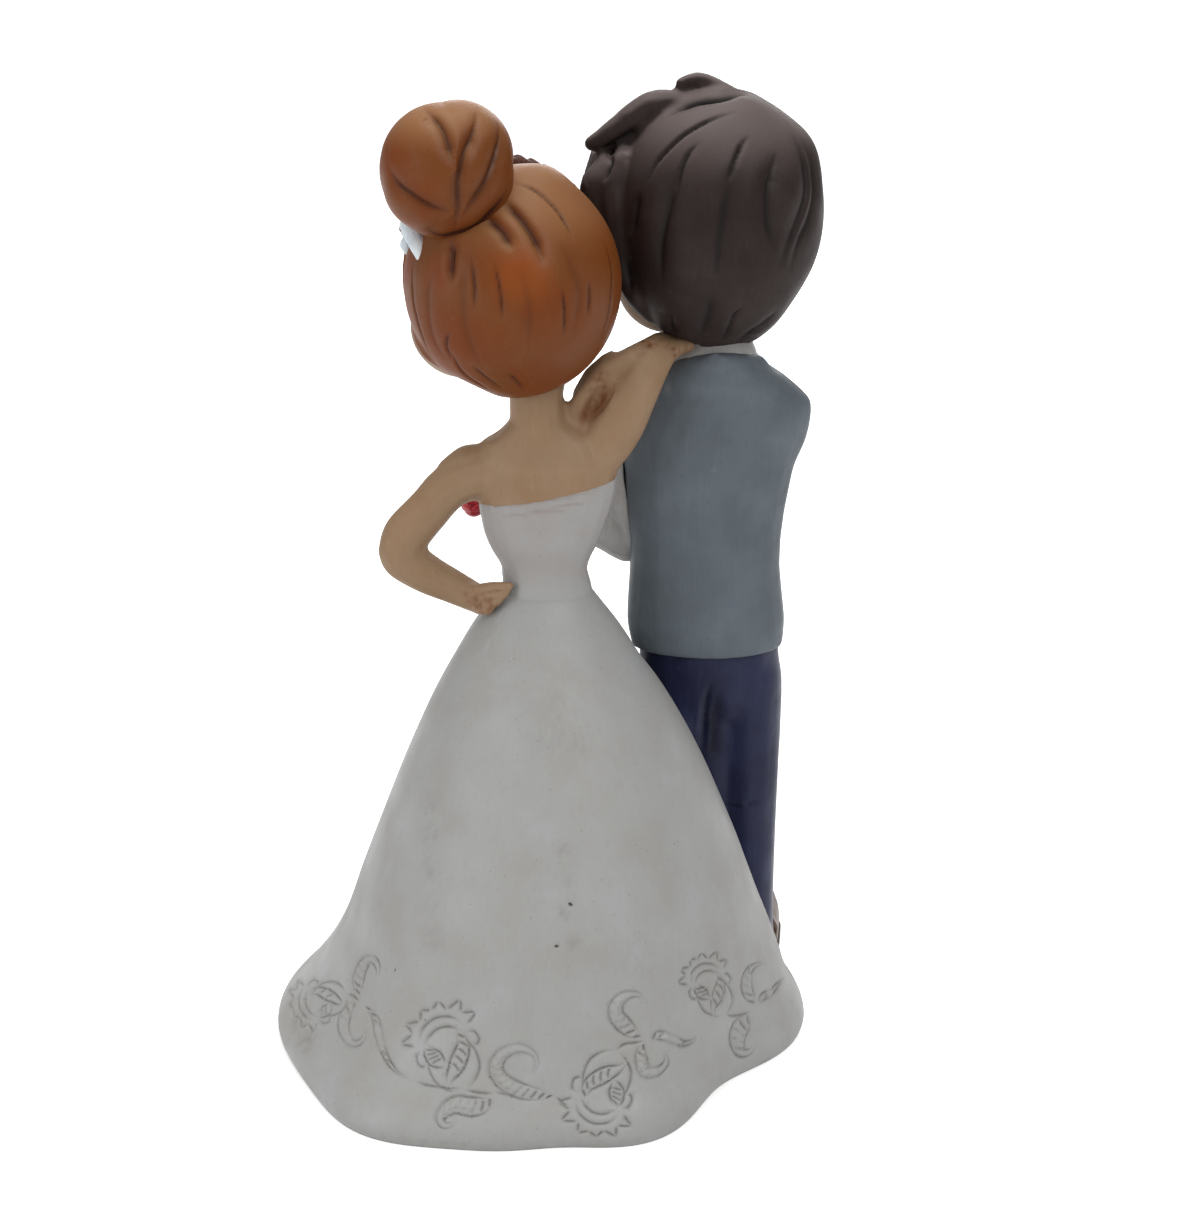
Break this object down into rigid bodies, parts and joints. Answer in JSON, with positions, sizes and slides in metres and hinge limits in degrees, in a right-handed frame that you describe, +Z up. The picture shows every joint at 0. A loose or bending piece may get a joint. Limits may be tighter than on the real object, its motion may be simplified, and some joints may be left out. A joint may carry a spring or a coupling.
{
  "type": "wedding cake topper",
  "caption": "Wedding cake topper: a bride with a bun and a flared gown embraces a groom in vest and trousers, facing away, standing on the flat underside of the gown",
  "frame": {"origin": "under the middle of the bounding box, on the surface that the topper stands on", "axes": "+Z up, the couple looks along +Y, the groom stands on the +X side of the bride"},
  "size_m": [0.0928, 0.089, 0.1598],
  "materials": {
    "dress_white": "off-white matt paint with a brown wash in the hollows",
    "skin": "tan matt paint over resin",
    "auburn_hair": "auburn satin paint, darker in the grooves",
    "dark_hair": "near-black brown paint, greyed on the ridges",
    "flower_white": "white satin paint",
    "flower_red": "red satin paint",
    "trousers_navy": "navy matt paint",
    "vest_slate": "slate grey matt paint",
    "shirt_white": "greyish white matt paint",
    "shoe_brown": "dark brown satin paint",
    "leaf_green": "leaf green matt paint"
  },
  "bodies": {
    "root": {"bride_skirt": "dress_white", "bride_bodice": "dress_white", "bride_torso": "skin", "bride_hip_arm": "skin", "bride_hug_arm": "skin", "bride_head": "skin", "groom_head": "skin", "groom_left_hand": "skin", "groom_right_hand": "skin", "bride_hair_cap": "auburn_hair", "bride_bun": "auburn_hair", "bride_hair_tie": "auburn_hair", "bride_braid": "auburn_hair", "bride_fringe_left": "auburn_hair", "bride_fringe_right": "auburn_hair", "hair_flower": "flower_white", "rose_1": "flower_white", "rose_3": "flower_white", "rose_5": "flower_white", "rose_7": "flower_white", "groom_trousers": "trousers_navy", "groom_vest": "vest_slate", "groom_shirt": "shirt_white", "groom_left_sleeve": "shirt_white", "groom_right_sleeve": "shirt_white", "groom_hair_cap": "dark_hair", "groom_quiff": "dark_hair", "groom_forelock": "dark_hair", "groom_hair_tuft": "dark_hair", "bow_tie": "flower_red", "rose_2": "flower_red", "rose_4": "flower_red", "rose_6": "flower_red", "groom_left_shoe": "shoe_brown", "groom_right_shoe": "shoe_brown", "groom_left_sole": "shoe_brown", "groom_right_sole": "shoe_brown", "bouquet_holder": "leaf_green", "bouquet_leaf_1": "leaf_green", "bouquet_leaf_2": "leaf_green", "bouquet_leaf_3": "leaf_green"}
  },
  "joints": []
}
